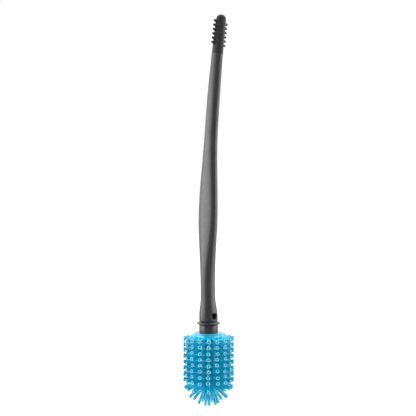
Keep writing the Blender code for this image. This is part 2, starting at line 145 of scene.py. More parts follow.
# Handle from the bead to the top of the tip, as half widths along Y and half depths along X
HANDLE_LENGTH = 302.5 * MM
HANDLE_LEAN = 16.8 * MM
LOW_BEND = -3.8 * MM
HIGH_BEND = 1.2 * MM
END_RADIUS = 8.95 * MM
END_HEIGHT = 6.0 * MM
NECK_RADIUS = 6.9 * MM
NECK_HEIGHT = 27.5 * MM
NECK_LENGTH = 7.5 * MM
BULGE_HEIGHT = 105.0 * MM
BULGE_HALF_WIDTH = 12.0 * MM
BULGE_HALF_DEPTH = 5.7 * MM
STEM_HEIGHT = 190.0 * MM
STEM_HALF_WIDTH = 7.75 * MM
STEM_HALF_DEPTH = 5.3 * MM
TIP_RADIUS = 4.95 * MM
TIP_TAPER_POWER = 1.6
OVAL_POWER = 2.0
BULGE_POWER = 2.3
GRIP_WALL = 1.6 * MM
SETTLE_LENGTH = 20.0 * MM
SLOPE_STEP = 0.2 * MM

# Nubbed tip, over a peg on the core
TIP_LENGTH = 40.0 * MM
PEG_RADIUS = 2.6 * MM
PEG_TO_TIP_END = 9.0 * MM
PEG_SHOULDER = 3.0 * MM
NUB_PAIRS = 6
NUB_PITCH = 4.3 * MM
NUB_TO_TIP_END = 8.0 * MM
NUB_PROUD = 4.3 * MM
NUB_BASE_RADIUS = 2.1 * MM
NUB_END_RADIUS = 0.65 * MM
NUB_ROOT = 0.9 * MM
NUB_OUTLINE_SHARES = ((0.98, 0.10), (0.80, 0.26), (0.66, 0.44), (0.54, 0.64), (0.42, 0.82))
NUB_SIDES = 20

# Fineness of the meshes
ROUND_SIDES = 96
HANDLE_SIDES = 96
GRIP_RINGS = 170
BORE_RINGS = 40
TIP_RINGS = 30
DOME_STEPS = 12
EASE_STEPS = 4
RING_SIDES = 72
RING_SECTION_SIDES = 16
EYE_SIDES = 48
SMOOTH_ANGLE = math.radians(35.0)
ROUND_PROFILE = 0.5

# Finishes: noises that cloud, patch and grain the mouldings, and the silicone's own values
CLOUD_SIZE = 14.0 * MM
CLOUD_DETAIL = 3.0
PATCH_SIZE = 5.0 * MM
PATCH_DETAIL = 4.0
GRAIN_DETAIL = 2.0
NOISE_MIDDLE = (0.3, 0.7)
# Silicone colour, lighter near the sleeve and darker at the finger ends: painted light that evens
# out the shade between the fingers
SILICONE_PAINTED_LIGHT_ON_SLEEVE = (0.0, 0.380, 0.560)
SILICONE_PAINTED_DARKER_AT_ENDS = (0.0, 0.275, 0.400)
# Paler blue of the finger rims: a painted highlight
SILICONE_RIM_HIGHLIGHT = (0.160, 0.370, 0.490)
SILICONE_LIGHT_SHARE = 0.6
SILICONE_LIGHT_REACHES = (0.3, 0.9, 1.0)
SILICONE_LIGHT_DEPTH = 3.0 * MM

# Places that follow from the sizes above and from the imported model
DOME_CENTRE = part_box("brush_head")[0].z + REACH
FIRST_ROW = DOME_CENTRE + FIRST_ROW_RISE
TOP_ROW = FIRST_ROW + (ROW_COUNT - 1) * ROW_PITCH
FLANGE_BOTTOM = TOP_ROW + FLANGE_ABOVE_TOP_ROW
FLANGE_TOP = FLANGE_BOTTOM + FLANGE_THICKNESS
SLEEVE_TOP = FLANGE_BOTTOM - FIT_GAP
SLEEVE_BOTTOM = DOME_CENTRE - SLEEVE_DOME_DEPTH
INSERT_BOTTOM = SLEEVE_BOTTOM + SLEEVE_END_WALL + FIT_GAP
BORE_FLOOR = INSERT_BOTTOM + INSERT_FLOOR
BORE_RADIUS = SPIGOT_RADIUS + SPIGOT_PLAY
SHOULDER = FLANGE_TOP + FIT_GAP
SPIGOT_END = BORE_FLOOR + SPIGOT_END_ROOM
BEAD = SHOULDER + COLLAR_HEIGHT
GRIP_START = BEAD + 0.5 * BEAD_HEIGHT + BEAD_GROOVE_HEIGHT
HANDLE_TOP = BEAD + HANDLE_LENGTH
GRIP_END = HANDLE_TOP - TIP_LENGTH
RING_HEIGHTS = (SHOULDER - RING_TO_SHOULDER, SPIGOT_END + RING_TO_END)
RING_MIDDLE_RADIUS = BORE_RADIUS - FIT_GAP - RING_SECTION_RADIUS

# Camera, as the photograph has it, with its lens and sensor in millimetres
CAMERA_AZIMUTH = math.radians(-40.0)
CAMERA_DISTANCE = 0.8
CAMERA_HEIGHT = 0.10455
CAMERA_TO_LEFT = 0.58 * MM
CAMERA_LENS = 71.2
CAMERA_SENSOR_WIDTH = 36.0

# Floor, far enough below the fingers to hold only a soft shadow. Its glow to the camera rises
# over a span of distance from the object, as the lamps light it less there.
FLOOR_BELOW_HEAD = 0.12
FLOOR_SIZE = 14.0
FLOOR_GREY = 0.4
FLOOR_GLOWS = (0.27, 0.82)
FLOOR_GLOW_SPAN = (0.1, 0.95)

# Light: a soft box at each side, one overhead, and the walls of the room. The walls have a level
# on the camera's side and one behind the object, for matt surfaces and, as sheen, for gloss.
WALL_LEVELS = (1.35, 0.7)
WALL_SPAN = (-0.7, 0.5)
SHEEN_LEVELS = (0.20, 1.9)
SHEEN_SPAN = (-1.0, 0.1)
BOX_DISTANCE = 0.9
BOX_AIM_HEIGHT = 0.06


def ease(share):
    """Smooth step from 0 to 1."""
    held = min(max(share, 0.0), 1.0)
    return held * held * (3.0 - 2.0 * held)


def between(low, high, share):
    """Value at a share of the way from one size to another."""
    return low + (high - low) * share


def direction(azimuth):
    """Level direction away from the head's axis at an azimuth, where 0 is along -Y."""
    return Vector((math.sin(azimuth), -math.cos(azimuth), 0.0))


def skin(rings, wrap=False):
    """Closed mesh through rings of points, where a ring of one point is a pole."""
    bm = bmesh.new()
    loops = [[bm.verts.new(point) for point in ring] for ring in rings]
    pairs = list(zip(loops, loops[1:]))
    if wrap:
        pairs.append((loops[-1], loops[0]))
    for low, high in pairs:
        count = max(len(low), len(high))
        for side in range(count):
            after = (side + 1) % count
            if len(low) == 1:
                corners = (low[0], high[after], high[side])
            elif len(high) == 1:
                corners = (low[side], low[after], high[0])
            else:
                corners = (low[side], low[after], high[after], high[side])
            bm.faces.new(corners)
    bmesh.ops.recalc_face_normals(bm, faces=bm.faces[:])
    return bm


def round_ring(radius, height, sides):
    """Level ring about the head's axis, or a pole where the radius is zero."""
    if radius == 0.0:
        return [Vector((0.0, 0.0, height))]
    points = []
    for side in range(sides):
        angle = TAU * side / sides
        points.append(Vector((radius * math.cos(angle), radius * math.sin(angle), height)))
    return points


def eased(corners):
    """Outline through (radius, height, ease) corners, each rounded over its ease length."""
    spots = [Vector(corner[:2]) for corner in corners]
    outline = []
    for index, (spot, corner) in enumerate(zip(spots, corners)):
        if corner[2] == 0.0:
            outline.append(spot)
            continue
        start = spot + (spots[index - 1] - spot).normalized() * corner[2]
        stop = spot + (spots[index + 1] - spot).normalized() * corner[2]
        for step in range(EASE_STEPS + 1):
            share = step / EASE_STEPS
            outline.append(start.lerp(spot, share).lerp(spot.lerp(stop, share), share))
    return outline


def turned(corners):
    """Closed turned mesh from corners that run from one pole to the other."""
    return skin([round_ring(radius, height, ROUND_SIDES) for radius, height in eased(corners)])


def handle_lean(height):
    """How far the handle's middle stands off the head's axis, along X: a cubic curve."""
    along = (height - BEAD) / HANDLE_LENGTH
    back = 1.0 - along
    low = 3.0 * back * back * along * LOW_BEND
    high = 3.0 * back * along * along * HIGH_BEND
    return low + high + along ** 3 * HANDLE_LEAN


def handle_half_sizes(height):
    """Half width along Y and half depth along X of the handle's outside."""
    up = height - BEAD
    neck_top = NECK_HEIGHT + NECK_LENGTH
    if up < NECK_HEIGHT:
        share = ease((up - END_HEIGHT) / (NECK_HEIGHT - END_HEIGHT))
        radius = between(END_RADIUS, NECK_RADIUS, share)
        return radius, radius
    if up < BULGE_HEIGHT:
        share = ease((up - neck_top) / (BULGE_HEIGHT - neck_top))
        return (between(NECK_RADIUS, BULGE_HALF_WIDTH, share),
                between(NECK_RADIUS, BULGE_HALF_DEPTH, share))
    if up < STEM_HEIGHT:
        share = ease((up - BULGE_HEIGHT) / (STEM_HEIGHT - BULGE_HEIGHT))
        return (between(BULGE_HALF_WIDTH, STEM_HALF_WIDTH, share),
                between(BULGE_HALF_DEPTH, STEM_HALF_DEPTH, share))
    share = (up - STEM_HEIGHT) / (HANDLE_LENGTH - TIP_RADIUS - STEM_HEIGHT)
    share = min(share, 1.0) ** TIP_TAPER_POWER
    return (between(STEM_HALF_WIDTH, TIP_RADIUS, share),
            between(STEM_HALF_DEPTH, TIP_RADIUS, share))


def section_power(height):
    """Exponent of the handle's section: an oval, but with flatter broad sides at the bulge."""
    up = height - BEAD
    neck_top = NECK_HEIGHT + NECK_LENGTH
    rise = ease((up - neck_top) / (BULGE_HEIGHT - neck_top))
    fall = ease((up - BULGE_HEIGHT) / (STEM_HEIGHT - BULGE_HEIGHT))
    return between(OVAL_POWER, BULGE_POWER, rise - fall)


def flattened(value, power):
    """Cosine or sine of an oval, moved out for a section with a higher exponent."""
    return math.copysign(abs(value) ** (OVAL_POWER / power), value)


def handle_frame(height):
    """Middle of the handle at a height, and the direction across its bend."""
    settled = ease((height - GRIP_START) / SETTLE_LENGTH)
    rise = handle_lean(height + SLOPE_STEP) - handle_lean(height - SLOPE_STEP)
    along = Vector((rise * settled, 0.0, 2.0 * SLOPE_STEP)).normalized()
    return Vector((handle_lean(height), 0.0, height)), Vector((along.z, 0.0, -along.x))


def handle_ring(height, half_width, half_depth):
    """Ring of points square to the handle's middle line."""
    middle, across = handle_frame(height)
    power = section_power(height)
    points = []
    for side in range(HANDLE_SIDES):
        angle = TAU * side / HANDLE_SIDES
        offset = across * (half_depth * flattened(math.cos(angle), power))
        offset += Vector((0.0, half_width * flattened(math.sin(angle), power), 0.0))
        points.append(middle + offset)
    return points


def outside_ring(height, inset):
    """Ring of the handle's outside at a height, drawn in by an inset."""
    half_width, half_depth = handle_half_sizes(height)
    return handle_ring(height, half_width - inset, half_depth - inset)


def handle_rings(low, high, inset, count):
    """Rings of the handle's outside, drawn in by an inset, from one height to another."""
    return [outside_ring(between(low, high, step / count), inset) for step in range(count + 1)]


def edge_rings(edge):
    """Rings that round the handle's outside into a flat low end, from the top down."""
    rings = []
    for step in range(EASE_STEPS):
        angle = 0.5 * math.pi * step / EASE_STEPS
        height = edge + FINE_EASE * (1.0 - math.sin(angle))
        rings.append(outside_ring(height, FINE_EASE * (1.0 - math.cos(angle))))
    return rings


def to_object(bm, name, finish=None, sharp=SMOOTH_ANGLE):
    """Mesh object with smooth shading, broken at its own sharp edges."""
    mesh = bpy.data.meshes.new(name)
    bm.to_mesh(mesh)
    bm.free()
    mesh.shade_smooth()
    mesh.set_sharp_from_angle(angle=sharp)
    if finish is not None:
        mesh.materials.append(finish)
    made = bpy.data.objects.new(name, mesh)
    bpy.context.scene.collection.objects.link(made)
    return made


def evaluated_mesh(source):
    """Plain mesh of an object as its modifiers leave it."""
    graph = bpy.context.evaluated_depsgraph_get()
    return bpy.data.meshes.new_from_object(source.evaluated_get(graph))


def cut(target, other, operation):
    """Join another object to the target, or cut it out, and remove the other."""
    modifier = target.modifiers.new(other.name, "BOOLEAN")
    modifier.operation = operation
    modifier.object = other
    modifier.solver = "EXACT"
    mesh = evaluated_mesh(target)
    target.modifiers.remove(modifier)
    old = target.data
    target.data = mesh
    mesh.name = old.name
    bpy.data.meshes.remove(old)
    bpy.data.objects.remove(other, do_unlink=True)
    mesh.set_sharp_from_angle(angle=SMOOTH_ANGLE)


def place(piece, body, slot, *nodes):
    """Ride a piece on its body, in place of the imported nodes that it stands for."""
    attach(piece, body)
    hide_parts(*nodes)


def add_node(tree, kind, **settings):
    """New node of a tree, with its own settings."""
    made = tree.nodes.new(kind)
    for name, value in settings.items():
        setattr(made, name, value)
    return made


def noise_on(tree, source, size, detail):
    """Noise of a given grain size on the object's own coordinates."""
    noise = add_node(tree, "ShaderNodeTexNoise", noise_dimensions="3D")
    noise.inputs["Scale"].default_value = 1.0 / size
    noise.inputs["Detail"].default_value = detail
    tree.links.new(source, noise.inputs["Vector"])
    return noise.outputs["Fac"]


def over_span(tree, source, span, levels):
    """Value that runs from one level to the other over a span, and holds beyond it."""
    ranged = add_node(tree, "ShaderNodeMapRange")
    ranged.inputs["From Min"].default_value = span[0]
    ranged.inputs["From Max"].default_value = span[1]
    ranged.inputs["To Min"].default_value = levels[0]
    ranged.inputs["To Max"].default_value = levels[1]
    tree.links.new(source, ranged.inputs["Value"])
    return ranged.outputs["Result"]


def worked_out(tree, operation, source, number):
    """Value worked out from another one and a number."""
    made = add_node(tree, "ShaderNodeMath", operation=operation)
    made.inputs[1].default_value = number
    tree.links.new(source, made.inputs[0])
    return made.outputs["Value"]


def length_of(tree, source):
    """Length of a vector."""
    made = add_node(tree, "ShaderNodeVectorMath", operation="LENGTH")
    tree.links.new(source, made.inputs[0])
    return made.outputs["Value"]


def mixed_colour(tree, factor, low, high):
    """Colour between two, by a factor."""
    mix = add_node(tree, "ShaderNodeMix", data_type="RGBA")
    mix.inputs["A"].default_value = (*low, 1.0)
    mix.inputs["B"].default_value = (*high, 1.0)
    tree.links.new(factor, mix.inputs["Factor"])
    return mix.outputs["Result"]


def grained(name, roughness, rough_spread, grain, depth, specular):
    """Material with an uneven sheen and a fine grain pressed in by the mould."""
    made = bpy.data.materials.new(name)
    made.use_nodes = True
    tree = made.node_tree
    shader = tree.nodes["Principled BSDF"]
    coordinates = add_node(tree, "ShaderNodeTexCoord").outputs["Object"]
    patches = noise_on(tree, coordinates, PATCH_SIZE, PATCH_DETAIL)
    levels = (roughness - rough_spread, roughness + rough_spread)
    sheen = over_span(tree, patches, NOISE_MIDDLE, levels)
    tree.links.new(sheen, shader.inputs["Roughness"])
    bump = add_node(tree, "ShaderNodeBump")
    bump.inputs["Strength"].default_value = 1.0
    bump.inputs["Distance"].default_value = depth
    tree.links.new(noise_on(tree, coordinates, grain, GRAIN_DETAIL), bump.inputs["Height"])
    tree.links.new(bump.outputs["Normal"], shader.inputs["Normal"])
    shader.inputs["Specular IOR Level"].default_value = specular
    return made, tree, shader, coordinates


def moulded(name, colour, shade, **surface):
    """Grained material whose colour clouds by a share either way."""
    made, tree, shader, coordinates = grained(name, **surface)
    noise = noise_on(tree, coordinates, CLOUD_SIZE, CLOUD_DETAIL)
    cloud = over_span(tree, noise, NOISE_MIDDLE, (0.0, 1.0))
    low = [channel * (1.0 - shade) for channel in colour]
    high = [channel * (1.0 + shade) for channel in colour]
    tree.links.new(mixed_colour(tree, cloud, low, high), shader.inputs["Base Color"])
    return made


def soft_grip_finish():
    """Dark grey soft-touch rubber with a matt grain."""
    return moulded("soft_grip", colour=(0.018, 0.018, 0.019), shade=0.08, roughness=0.38,
                   rough_spread=0.05, grain=0.45 * MM, depth=0.010 * MM, specular=0.30)


def stiff_grey_finish():
    """Dark grey stiff plastic, a little smoother than the grip."""
    return moulded("stiff_grey", colour=(0.014, 0.014, 0.015), shade=0.07, roughness=0.33,
                   rough_spread=0.04, grain=0.35 * MM, depth=0.006 * MM, specular=0.32)


def tip_rubber_finish():
    """Darker, duller rubber of the nubbed tip."""
    return moulded("tip_rubber", colour=(0.015, 0.015, 0.016), shade=0.08, roughness=0.44,
                   rough_spread=0.05, grain=0.40 * MM, depth=0.008 * MM, specular=0.13)


def ring_rubber_finish():
    """Black rubber of the seal rings."""
    return moulded("ring_rubber", colour=(0.012, 0.012, 0.012), shade=0.1, roughness=0.5,
                   rough_spread=0.08, grain=0.2 * MM, depth=0.004 * MM, specular=0.5)


def stiff_blue_finish():
    """Blue stiff plastic of the insert and its flange."""
    return moulded("stiff_blue", colour=(0.012, 0.250, 0.410), shade=0.04, roughness=0.34,
                   rough_spread=0.04, grain=0.30 * MM, depth=0.004 * MM, specular=0.5)


def reach_share(tree, coordinates):
    """How far out from the sleeve a point lies: 0 on the sleeve, 1 at the finger ends."""
    split = add_node(tree, "ShaderNodeSeparateXYZ")
    tree.links.new(coordinates, split.inputs["Vector"])
    above_dome = worked_out(tree, "SUBTRACT", split.outputs["Z"], DOME_CENTRE)
    spot = add_node(tree, "ShaderNodeCombineXYZ")
    tree.links.new(split.outputs["X"], spot.inputs["X"])
    tree.links.new(split.outputs["Y"], spot.inputs["Y"])
    tree.links.new(worked_out(tree, "MINIMUM", above_dome, 0.0), spot.inputs["Z"])
    out = length_of(tree, spot.outputs["Vector"])
    return over_span(tree, out, (SLEEVE_RADIUS, REACH), (0.0, 1.0))


def silicone_finish():
    """Blue silicone with painted light: lighter near the sleeve and paler on the finger rims.

    The colour is lighter near the sleeve, where the fingers shade it, and darker at the exposed
    finger ends: painted light that evens out the shade. The paler rims are a painted highlight.
    Light passes a little way in, so thin parts look clear.
    """
    made, tree, shader, coordinates = grained(
        "silicone", roughness=0.36, rough_spread=0.05, grain=0.5 * MM, depth=0.005 * MM,
        specular=0.55)
    share = reach_share(tree, coordinates)
    # Lighter near the sleeve, darker at the finger ends: painted light that evens out the shade
    # between the fingers
    shaft = mixed_colour(tree, share, SILICONE_PAINTED_LIGHT_ON_SLEEVE, SILICONE_PAINTED_DARKER_AT_ENDS)

    # The rim attribute pales each finger's rim towards a lighter blue: a painted highlight
    rim = add_node(tree, "ShaderNodeAttribute", attribute_name="rim")
    rim_highlighted = add_node(tree, "ShaderNodeMix", data_type="RGBA")
    rim_highlighted.inputs["B"].default_value = (*SILICONE_RIM_HIGHLIGHT, 1.0)
    tree.links.new(rim.outputs["Fac"], rim_highlighted.inputs["Factor"])
    tree.links.new(shaft, rim_highlighted.inputs["A"])
    tree.links.new(rim_highlighted.outputs["Result"], shader.inputs["Base Color"])
    shader.inputs["Subsurface Weight"].default_value = SILICONE_LIGHT_SHARE
    shader.inputs["Subsurface Radius"].default_value = SILICONE_LIGHT_REACHES
    shader.inputs["Subsurface Scale"].default_value = SILICONE_LIGHT_DEPTH
    return made


def lug_block(room, low, high):
    """Bar across the spigot whose two ends are the driving lugs, with room all round."""
    bm = bmesh.new()
    bmesh.ops.create_cube(bm, size=1.0)
    reach = SPIGOT_RADIUS + LUG_PROUD + room
    size = Matrix.Diagonal((2.0 * reach, LUG_WIDTH + 2.0 * room, high - low, 1.0))
    middle = Matrix.Translation((0.0, 0.0, 0.5 * (low + high)))
    bmesh.ops.transform(bm, matrix=middle @ size, verts=bm.verts[:])
    bmesh.ops.bevel(bm, geom=bm.edges[:], offset=FINE_EASE, segments=LUG_EDGE_STEPS,
                    profile=ROUND_PROFILE, affect="EDGES")
    return bm


def surface_reach(x, height):
    """Distance along Y from the handle's middle plane to its outside."""
    half_width, half_depth = handle_half_sizes(height)
    across = min(abs(x - handle_lean(height)) / half_depth, 1.0)
    return half_width * math.sqrt(1.0 - across * across)


def eye_ring(radius, depth, side):
    """Ring of the eye's wall, at a depth below the handle's outside on one side."""
    points = []
    for step in range(EYE_SIDES):
        angle = TAU * step / EYE_SIDES
        x = radius * math.cos(angle)
        height = radius * math.sin(angle)
        points.append(Vector((x, side * (surface_reach(x, height) - depth), height)))
    return points


def eye_cutter():
    """Bar through the eye, whose mouths follow the handle's outside with a rounded rim."""
    mouth = [(EYE_RADIUS, 2.0 * EYE_EASE)]
    steps = 2 * EASE_STEPS
    for step in range(steps - 1):
        angle = 0.5 * math.pi * step / steps
        mouth.append((EYE_RADIUS + EYE_EASE * (1.0 - math.cos(angle)),
                      EYE_EASE * (1.0 - math.sin(angle))))
    mouth.append((EYE_RADIUS + 2.0 * EYE_EASE, -EYE_EASE))
    rings = [[Vector((0.0, -END_RADIUS - CUT_OVERRUN, 0.0))]]
    rings += [eye_ring(radius, depth, -1.0) for radius, depth in reversed(mouth)]
    rings += [eye_ring(radius, depth, 1.0) for radius, depth in mouth]
    rings.append([Vector((0.0, END_RADIUS + CUT_OVERRUN, 0.0))])
    return skin(rings)


def spigot_corners():
    """Corners up the spigot, with a groove for each rubber ring."""
    corners = [(0.0, SPIGOT_END, 0.0),
               (SPIGOT_RADIUS - SPIGOT_END_CHAMFER, SPIGOT_END, FINE_EASE),
               (SPIGOT_RADIUS, SPIGOT_END + SPIGOT_END_CHAMFER, FINE_EASE)]
    half_groove = RING_SECTION_RADIUS + FIT_GAP
    groove_radius = RING_MIDDLE_RADIUS - half_groove
    for height in sorted(RING_HEIGHTS):
        corners += [(SPIGOT_RADIUS, height - half_groove, FINE_EASE),
                    (groove_radius, height - half_groove, FINE_EASE),
                    (groove_radius, height + half_groove, FINE_EASE),
                    (SPIGOT_RADIUS, height + half_groove, FINE_EASE)]
    corners.append((SPIGOT_RADIUS, SHOULDER, FINE_EASE))
    return corners


def collar_corners():
    """Corners of the collar and its stop bead, up to where the grip starts."""
    half_bead = 0.5 * BEAD_HEIGHT
    half_crest = 0.5 * BEAD_CREST_HEIGHT
    groove_radius = COLLAR_RADIUS - BEAD_GROOVE_DEPTH
    return [(COLLAR_RADIUS, SHOULDER, FINE_EASE),
            (COLLAR_RADIUS, BEAD - half_bead - BEAD_GROOVE_HEIGHT, FINE_EASE),
            (groove_radius, BEAD - half_bead, FINE_EASE),
            (BEAD_RADIUS, BEAD - half_crest, half_crest),
            (BEAD_RADIUS, BEAD + half_crest, half_crest),
            (groove_radius, BEAD + half_bead, FINE_EASE),
            (END_RADIUS - GRIP_WALL - FIT_GAP, BEAD + half_bead + BEAD_GROOVE_HEIGHT, 0.0)]


def core_piece(finish):
    """Stiff core: spigot with its lugs, collar, stop bead, the bar in the grip and the peg."""
    rings = [round_ring(radius, height, HANDLE_SIDES)
             for radius, height in eased(spigot_corners() + collar_corners())]
    inset = GRIP_WALL + FIT_GAP
    rings += handle_rings(GRIP_START + FIT_GAP, GRIP_END - PEG_SHOULDER, inset, BORE_RINGS)
    peg_top = HANDLE_TOP - PEG_TO_TIP_END
    for step in range(TIP_RINGS + 1):
        height = between(GRIP_END + FIT_GAP, peg_top, step / TIP_RINGS)
        rings.append(handle_ring(height, PEG_RADIUS, PEG_RADIUS))
    rings.append([handle_frame(peg_top)[0]])
    core = to_object(skin(rings), "core_moulding", finish)
    lugs = lug_block(0.0, SHOULDER - LUG_HEIGHT, SHOULDER + FIT_GAP)
    cut(core, to_object(lugs, "lug_bar"), "UNION")
    cut(core, to_object(eye_cutter(), "core_eye"), "DIFFERENCE")
    place(core, "handle", "stiff_grey", "handle_core")


def grip_piece(finish):
    """Soft skin over the core, rounded at its low end, with the eye through it."""
    outer = list(reversed(edge_rings(GRIP_START)))
    outer += handle_rings(GRIP_START + FINE_EASE, GRIP_END, 0.0, GRIP_RINGS)[1:]
    inner = handle_rings(GRIP_START, GRIP_END, GRIP_WALL, BORE_RINGS)
    grip = to_object(skin(outer + list(reversed(inner)), wrap=True), "grip_skin", finish)
    cut(grip, to_object(eye_cutter(), "grip_eye"), "DIFFERENCE")
    place(grip, "handle", "soft_grip", "handle_grip")


def nub_mesh():
    """Nub along +Z from its root: a wide foot that draws in to a rounded end.

    The outline's shares are of the foot's radius and of the nub's length.
    """
    outline = [(0.0, -NUB_ROOT), (NUB_BASE_RADIUS, -NUB_ROOT)]
    for radius_share, along_share in NUB_OUTLINE_SHARES:
        outline.append((NUB_BASE_RADIUS * radius_share, NUB_PROUD * along_share))
    for step in range(1, EASE_STEPS):
        angle = 0.5 * math.pi * step / EASE_STEPS
        outline.append((NUB_END_RADIUS * math.cos(angle),
                        NUB_PROUD - NUB_END_RADIUS * (1.0 - math.sin(angle))))
    outline.append((0.0, NUB_PROUD))
    return skin([round_ring(radius, height, NUB_SIDES) for radius, height in outline])


def nub_places():
    """Foot and direction of each nub, in two facing columns on the tip."""
    places = []
    for index in range(NUB_PAIRS):
        height = HANDLE_TOP - NUB_TO_TIP_END - index * NUB_PITCH
        middle, across = handle_frame(height)
        half_depth = handle_half_sizes(height)[1]
        for side in (-1.0, 1.0):
            out = across * side
            places.append((middle + out * half_depth, out))
    return places


def finger_outline(length, root_radius, neck_radius, end_radius):
    """Radius, distance along a finger and share of painted highlight on its rim: fillet, shaft,
    flare, rim and dish.
    """
    half_flared = between(neck_radius, end_radius, FLARE_HALF_WAY_SHARE)
    dish_radius = DISH_RADIUS_SHARE * end_radius
    return [(0.0, 0.0, 0.0),
            (root_radius + FILLET_REACH, FINGER_ROOT - FILLET_SUNK, 0.0),
            (root_radius, FINGER_ROOT + FILLET_HEIGHT, 0.0),
            (neck_radius, length - FINGER_FLARE, 0.0),
            (half_flared, length - 0.5 * FINGER_FLARE, 0.0),
            (end_radius, length - RIM_EASE, RIM_OUTER_HIGHLIGHT),
            (end_radius - RIM_EASE, length, 1.0),
            (dish_radius, length - RIM_EASE, RIM_INNER_HIGHLIGHT),
            (DISH_FLOOR_SHARE * dish_radius, length - DISH_DEPTH, 0.0),
            (0.0, length - DISH_DEPTH, 0.0)]


def finger_mesh(length, root_radius, neck_radius, end_radius):
    """Finger along +Z from its root, with its rim marked for a painted highlight."""
    outline = finger_outline(length, root_radius, neck_radius, end_radius)
    rings = [round_ring(reach, height, FINGER_SIDES) for reach, height, _rim in outline]
    bm = skin(rings)
    marks = bm.verts.layers.float.new("rim")
    rims = [rim for ring, (_reach, _height, rim) in zip(rings, outline) for _point in ring]
    for vertex, rim in zip(bm.verts, rims):
        vertex[marks] = rim
    return bm


def dome_surface_reach(polar):
    """Distance from the dome's centre to its surface, at an angle from straight down."""
    across = math.sin(polar) / SLEEVE_RADIUS
    down = math.cos(polar) / SLEEVE_DOME_DEPTH
    return 1.0 / math.hypot(across, down)


def side_places():
    """Root and direction of each finger on the straight part of the sleeve."""
    places = []
    for row in range(ROW_COUNT):
        height = FIRST_ROW + row * ROW_PITCH
        for column in range(COLUMN_COUNT):
            angle = TAU * column / COLUMN_COUNT
            out = direction(angle)
            places.append((out * (SLEEVE_RADIUS - FINGER_ROOT) + UP * height, out))
    return places


def dome_places(count, polar, start):
    """Root and direction of each finger in one ring on the dome."""
    places = []
    for index in range(count):
        angle = TAU * index / count
        flat = direction(angle) * math.sin(polar)
        out = flat - UP * math.cos(polar)
        places.append((UP * DOME_CENTRE + out * start, out))
    return places


def field_tree():
    """Node tree that stands a shape on each place, along its own direction, with some wobble."""
    tree = bpy.data.node_groups.new("shape_field", "GeometryNodeTree")
    sockets = (("Places", "NodeSocketGeometry"), ("Shape", "NodeSocketObject"),
               ("Wobble", "NodeSocketFloat"), ("Seed", "NodeSocketInt"),
               ("Finish", "NodeSocketMaterial"))
    for name, kind in sockets:
        tree.interface.new_socket(name, in_out="INPUT", socket_type=kind)
    tree.interface.new_socket("Field", in_out="OUTPUT", socket_type="NodeSocketGeometry")
    given = add_node(tree, "NodeGroupInput").outputs
    shape = add_node(tree, "GeometryNodeObjectInfo")
    out = add_node(tree, "GeometryNodeInputNamedAttribute", data_type="FLOAT_VECTOR")
    out.inputs["Name"].default_value = "out"
    turn = add_node(tree, "FunctionNodeAlignRotationToVector", axis="Z")
    least = worked_out(tree, "MULTIPLY", given["Wobble"], -1.0)
    sway = add_node(tree, "FunctionNodeRandomValue", data_type="FLOAT_VECTOR")
    swayed = add_node(tree, "FunctionNodeEulerToRotation")
    turned_more = add_node(tree, "FunctionNodeRotateRotation", rotation_space="LOCAL")
    stand = add_node(tree, "GeometryNodeInstanceOnPoints")
    solid = add_node(tree, "GeometryNodeRealizeInstances")
    painted = add_node(tree, "GeometryNodeSetMaterial")
    result = add_node(tree, "NodeGroupOutput")
    links = (
        (given["Shape"], shape.inputs["Object"]),
        (out.outputs["Attribute"], turn.inputs["Vector"]),
        (least, sway.inputs["Min"]),
        (given["Wobble"], sway.inputs["Max"]),
        (given["Seed"], sway.inputs["Seed"]),
        (sway.outputs["Value"], swayed.inputs["Euler"]),
        (turn.outputs["Rotation"], turned_more.inputs["Rotation"]),
        (swayed.outputs["Rotation"], turned_more.inputs["Rotate By"]),
        (given["Places"], stand.inputs["Points"]),
        (shape.outputs["Geometry"], stand.inputs["Instance"]),
        (turned_more.outputs["Rotation"], stand.inputs["Rotation"]),
        (stand.outputs["Instances"], solid.inputs["Geometry"]),
        (solid.outputs["Geometry"], painted.inputs["Geometry"]),
        (given["Finish"], painted.inputs["Material"]),
        (painted.outputs["Geometry"], result.inputs["Field"]),
    )
    for source, target in links:
        tree.links.new(source, target)
    return tree


def field_mesh(tree, name, shape_mesh, places, wobble, seed, finish):
    """Plain mesh of one shape repeated on its places."""
    shape = to_object(shape_mesh, name + "_shape", sharp=SOFT_ANGLE)
    points = bpy.data.meshes.new(name)
    points.from_pydata([spot for spot, _out in places], [], [])
    directions = points.attributes.new("out", "FLOAT_VECTOR", "POINT")
    for index, (_spot, out) in enumerate(places):
        directions.data[index].vector = out
    carrier = bpy.data.objects.new(name, points)
    bpy.context.scene.collection.objects.link(carrier)
    modifier = carrier.modifiers.new("field", "NODES")
    modifier.node_group = tree
    values = {"Shape": shape, "Wobble": wobble, "Seed": seed, "Finish": finish}
    for item in tree.interface.items_tree:
        if item.name in values:
            modifier[item.identifier] = values[item.name]
    mesh = evaluated_mesh(carrier)
    bpy.data.objects.remove(carrier, do_unlink=True)
    bpy.data.objects.remove(shape, do_unlink=True)
    return mesh


def joined(meshes):
    """One mesh in edit form from several."""
    bm = bmesh.new()
    for mesh in meshes:
        bm.from_mesh(mesh)
        bpy.data.meshes.remove(mesh)
    return bm


